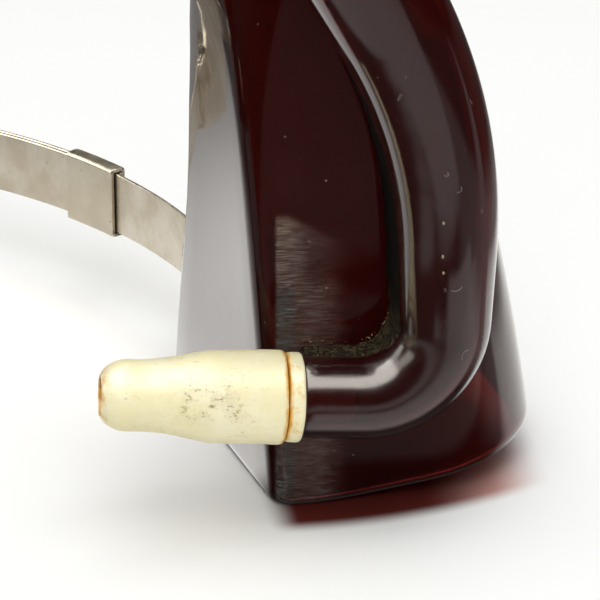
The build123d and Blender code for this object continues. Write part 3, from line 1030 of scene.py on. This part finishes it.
def strapRing(point, out, thick=band["thickness"], tall=band["width"], edge=band["edge"]):
    # a flat strap's cross-section with rounded edges
    ring = []
    edge = min(edge, thick / 2, tall / 2)
    for i, (a, b) in enumerate(((1, 1), (-1, 1), (-1, -1), (1, -1))):
        for k in range(4):
            turn = radians(90 * i + 30 * k)
            across = a * (thick / 2 - edge) + cos(turn) * edge
            above = b * (tall / 2 - edge) + sin(turn) * edge
            p = point + out * across
            ring.append(place(p.x, p.y, band["height"] + above))
    return ring


def weighted(piece):
    activate(piece)
    modifier = piece.modifiers.new("flat", "WEIGHTED_NORMAL")
    modifier.keep_sharp = True
    modifier.weight = 100
    applyAll(piece)
    return piece


def makeTopBand():
    # down one side, over the crown and down the other
    path = []
    steps = band["steps"]
    reach = -band["centre"][0] / sin(radians(band["crownAngle"]))
    crownY = band["centre"][1] + reach * cos(radians(band["crownAngle"]))
    for k in range(steps):
        angle = band["sleeveEnd"] + (band["crownAngle"] - band["sleeveEnd"]) * k / steps
        path.append(arcPoint(angle, band["topRadius"]))
    for k in range(2 * steps + 1):
        path.append(arcPoint(band["crownAngle"] * (1 - k / steps), band["topRadius"] - reach, (0, crownY)))
    for point, out in path[steps - 1::-1]:
        path.append((Vector((-point.x, point.y, 0)), Vector((-out.x, out.y, 0))))
    return weighted(skin("top_band", [strapRing(p, out) for p, out in path], capped=True))


def makeSideBand():
    rings = []
    steps = band["sideSteps"]
    for k in range(steps + 1):
        angle = band["ribbonStart"] + (pivotAngle - band["ribbonStart"]) * k / steps
        rings.append(strapRing(*arcPoint(angle, band["radius"])))
    for k in range(1, band["endSteps"] + 1):
        turn = radians(90 * k / band["endSteps"])
        past = degrees(band["width"] / 2 * sin(turn) / band["radius"])
        p, out = arcPoint(pivotAngle + past, band["radius"])
        rings.append(strapRing(p, out, tall=max(band["width"] * cos(turn), band["endTall"])))
    return weighted(skin("side_band", rings, capped=True))


def makeLoop(name, start, end, under, over):
    # sheet folded round both ribbons, open at its two ends, with gaps under and over the ribbons
    wall = band["sleeveWall"]
    bevel = band["sleeveBevel"]
    low = band["radius"] - band["thickness"] / 2 - under
    high = band["topRadius"] + band["thickness"] / 2 + over
    tall = band["width"] + 2 * band["edgeGap"]
    steps = 8

    def row(angle, grow, edge):
        p, out = arcPoint(angle, (low + high) / 2)
        return strapRing(p, out, high - low + 2 * grow, tall + 2 * grow, edge)

    def rows(first, last, grow, edge):
        return [row(first + (last - first) * k / steps, grow, edge) for k in range(steps + 1)]

    trim = degrees(bevel / band["radius"])
    outside = rows(start + trim, end - trim, wall, band["sleeveEdge"])
    ends = [row(angle, wall - bevel, band["sleeveMouthEdge"]) for angle in (start, end)]
    inside = rows(end, start, 0, band["sleeveInnerEdge"])
    rings = [ends[0]] + outside + [ends[1]] + inside + [ends[0]]
    return weighted(skin(name, rings))


# ---- finishes on the pieces and on the CAD nodes that stay ----
bellResin = rubyResin("bellResin", True)
neckResin = rubyResin("neckResin", False)
ivoryFinish = ivory()
nickelFinish = nickel("nickel", nickelLook["ribbon"], 0.5)
fittingFinish = nickel("fittingNickel", nickelLook["fitting"], 0.8)
brassFinish = nickel("brass", nickelLook["brass"], 0.9)
crustFinish = plainFinish("crust", colour(0.36, 0.28, 0.16), 0.45)
lintFinish = plainFinish("lint", colour(0.36, 0.32, 0.29), 0.7)
nodeFinish = {
    "horn_bell": bellResin, "neck_tube": neckResin, "tip_collar": ivoryFinish, "tip_nipple": brassFinish,
    "ear_tip": ivoryFinish, "side_band": nickelFinish, "top_band": nickelFinish,
}
for name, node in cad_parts.items():
    for slot in node.material_slots:
        slot.material = nodeFinish.get(name.split("_", 1)[-1], nodeFinish.get(name, fittingFinish))

finishPair(makeBell(), bellResin, "horn_bell_shell", "horn", "horn_bell")
finishPair(makeNeck(), neckResin, "neck_tube_shell", "horn", "neck_tube")
beads = joined([makeBead("cement_inner", 1), makeBead("cement_outer", -1)], "cement")
finishPair(beads, cementAndCreviceShade(), "cement_bead", "horn", "")
crumbs = joined([makeCrust(), makeDrops()], "crust")
finishPair(crumbs, crustFinish, "cement_crust", "horn", "")
finishPair(makeLint(), lintFinish, "lint_fibres", "horn", "")
print("horns made")

finishPair(makeEarTip(), ivoryFinish, "ear_tip_turned", "tip", "ear_tip")
finishPair(makeCollar(), ivoryFinish, "tip_collar_turned", "horn", "tip_collar")
print("ear tips made")

topBand = makeTopBand()
topBand.data.materials.append(nickelFinish)
topBand.name = "top_band_ribbon"
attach(topBand, "headband")
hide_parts("top_band")
finishPair(makeSideBand(), nickelFinish, "side_band_ribbon", "arm", "side_band")
clip = makeLoop("stop_clip", band["clipStart"], band["clipEnd"], 0, band["slideGap"])
finishPair(clip, fittingFinish, "stop_clip_loop", "arm", "stop_clip")
sleeve = makeLoop("band_sleeve", band["sleeveStart"], band["sleeveEnd"], band["slideGap"], 0)
finishPair(sleeve, fittingFinish, "band_sleeve_loop", "headband", "band_sleeve")
print("band made")


# ---- table, backdrop light and lamps, staged round the object ----
studio = {
    "floorSize": 6.0,
    "floorColour": colour(0.90, 0.90, 0.885),
    "paintedRedShadow": colour(0.10, 0.018, 0.014),
    "paleShadow": colour(0.56, 0.31, 0.27),
    "ambient": 0.25,
    "roomInPolish": 0.004,
    "lampPower": 9.5,
    "boxHeight": 700.0,
    "boxGlow": 9.0,
    "boxColour": colour(1.0, 0.96, 0.88),
}


def tableFinish():
    # a white table; in reflections it shows a painted glow instead, a studio table's light, bright near the
    # object and behind it
    t = Finish("paleTable", bothSides=False)
    # a red shadow painted into the table's colour along the front of the mouth, in place of light through
    # the resin
    away = t.minus(t.x, 70.0)
    shadeEdge = t.minus(t.times(away, away, 0.0085), 5.4)
    shade = t.times(t.span(t.minus(t.y, shadeEdge), -2.2, 1.6), t.span(t.x, 65.0, 69.5))
    shade = t.times(shade, t.span(t.y, 24, 10), t.span(t.x, 104, 95))
    # the painted shadow's colour: dark red on the left, pale red towards the right
    stainAndPaintedShadow = t.mix(t.span(t.x, 86, 99), studio["paintedRedShadow"], studio["paleShadow"])
    t.finished({
        "Base Color": t.mix(shade, studio["floorColour"], stainAndPaintedShadow),
        "Roughness": 0.8,
        "Specular IOR Level": 0.0,
    })
    ripple = t.times(t.minus(t.noise(0.07, 3, 0.6), 0.5), 9.0)
    x = t.plus(t.x, ripple)
    ahead = t.minus(ripple, t.y)
    # painted glow: the bright strip just in front of the horn
    strip = t.times(t.between(t.y, -54, -10, 6), t.span(x, 57, 66), t.span(x, 128, 158, 1.05, 0.35))
    further = t.times(t.between(t.y, -72, -46, 7), t.between(x, 78, 150, 12), 0.85)
    # painted glow of the open table further out, which ends at a slanting edge on the right
    across = t.minus(x, 50.0)
    begin = t.plus(t.math("MINIMUM", t.times(across, 0.3), t.times(across, 1.25)), 68.0)
    edge = t.plus(t.times(t.minus(ahead, 110.0), 0.79), 150.0)
    inside = t.times(t.span(t.minus(edge, x), -8, 10), t.span(x, -15, 20))
    front = t.times(t.span(t.minus(ahead, begin), -4, 9), inside, t.span(x, 100, 260, 0.72, 0.55))
    leftStrip = t.times(t.between(t.y, -52, 2, 8), t.between(t.x, -70, 8, 12), 0.8)
    behind = t.times(t.span(t.y, 1, 12), t.span(t.x, -45, 5, 0.2, 1.1), t.span(t.x, 62, 74, 1.0, 0.0))
    behind = t.times(behind, t.span(t.y, 62, 146, 1.0, 0.25))
    right = t.times(t.span(t.y, 0, 9), t.span(t.x, 96, 106), t.span(t.x, 150, 185, 1.0, 0.18))
    beside = t.times(t.span(t.x, 100, 130), t.span(t.x, 190, 270, 0.3, 0.03), t.span(t.y, 90, 140, 1.0, 0.1))
    right = t.times(right, t.span(t.x, 220, 285, 1.0, 0.1))
    level = t.most(strip, further, front, leftStrip, behind, right, beside, 0.04)
    # reflection rays see the painted glow; camera and other rays see the plain table
    rays = t.node("ShaderNodeLightPath").outputs
    seen = t.times(rays["Is Glossy Ray"], t.inverse(rays["Is Transmission Ray"]))
    glow = t.node("ShaderNodeEmission", {"Color": colour(1.0, 0.985, 0.95), "Strength": level})
    mixed = t.node("ShaderNodeMixShader", {0: seen, 1: t.shader.outputs[0], 2: glow.outputs[0]})
    t.feed(t.output.inputs["Surface"], mixed.outputs[0])
    return t.material


def makeTable():
    deselect()
    bpy.ops.mesh.primitive_plane_add(size=studio["floorSize"])
    floor = bpy.context.object
    floor.name = "table"
    floor.data.materials.append(tableFinish())


def makeBackdrop():
    # white behind the object, even light from all round, and a dark room in the polish
    world = bpy.data.worlds.new("studio")
    bpy.context.scene.world = world
    world.use_nodes = True
    t = Tree(world.node_tree)
    rays = t.node("ShaderNodeLightPath").outputs
    dimming = studio["ambient"] - studio["roomInPolish"]
    ambient = t.minus(studio["ambient"], t.times(rays["Is Glossy Ray"], dimming))
    white = t.most(rays["Is Camera Ray"], rays["Is Transmission Ray"])
    background = t.nodes["Background"]
    t.feed(background.inputs["Color"], colour(1, 1, 1))
    t.feed(background.inputs["Strength"], t.most(white, ambient))


def makeSoftbox(name, centre, sizes, aim, glow):
    # a lit panel that only polished surfaces see
    deselect()
    bpy.ops.mesh.primitive_plane_add(size=1)
    panel = bpy.context.object
    panel.name = name
    turn = (place(*aim) - place(*centre)).to_track_quat("Z", "Y")
    scale = Vector((sizes[0] * mm, sizes[1] * mm, 1))
    panel.data.transform(Matrix.LocRotScale(place(*centre), turn, scale))
    t = Finish(name)
    light = t.node("ShaderNodeEmission", {"Color": studio["boxColour"], "Strength": glow})
    t.feed(t.output.inputs["Surface"], light.outputs[0])
    panel.data.materials.append(t.material)
    panel.visible_camera = False
    panel.visible_diffuse = False
    panel.visible_transmission = False
    panel.visible_shadow = False


def makeLamp(name, centre, aim, size, power):
    # a wide soft light that polished surfaces don't see
    deselect()
    bpy.ops.object.light_add(type="AREA", location=place(*centre))
    lamp = bpy.context.object
    lamp.name = name
    lamp.rotation_mode = "QUATERNION"
    lamp.rotation_quaternion = (place(*aim) - place(*centre)).to_track_quat("-Z", "Y")
    lamp.data.shape = "SQUARE"
    lamp.data.size = size * mm
    lamp.data.energy = power
    lamp.visible_glossy = False
    lamp.visible_transmission = False


makeTable()
makeBackdrop()
makeSoftbox("overheadBox", (-180, -90, studio["boxHeight"]), (1260, 940), (-180, -90, 0), studio["boxGlow"])
makeSoftbox("leftBox", (-900, 55, 380), (1030, 640), (87, 55, 300), studio["boxGlow"] * 0.36)
makeLamp("overheadLamp", (60, 0, 1100), (60, 0, 0), 1100, studio["lampPower"])
makeLamp("frontLamp", (-100, -900, 1050), (60, 0, 0), 900, studio["lampPower"])
bpy.context.scene.view_settings.view_transform = "Standard"
print("studio set")
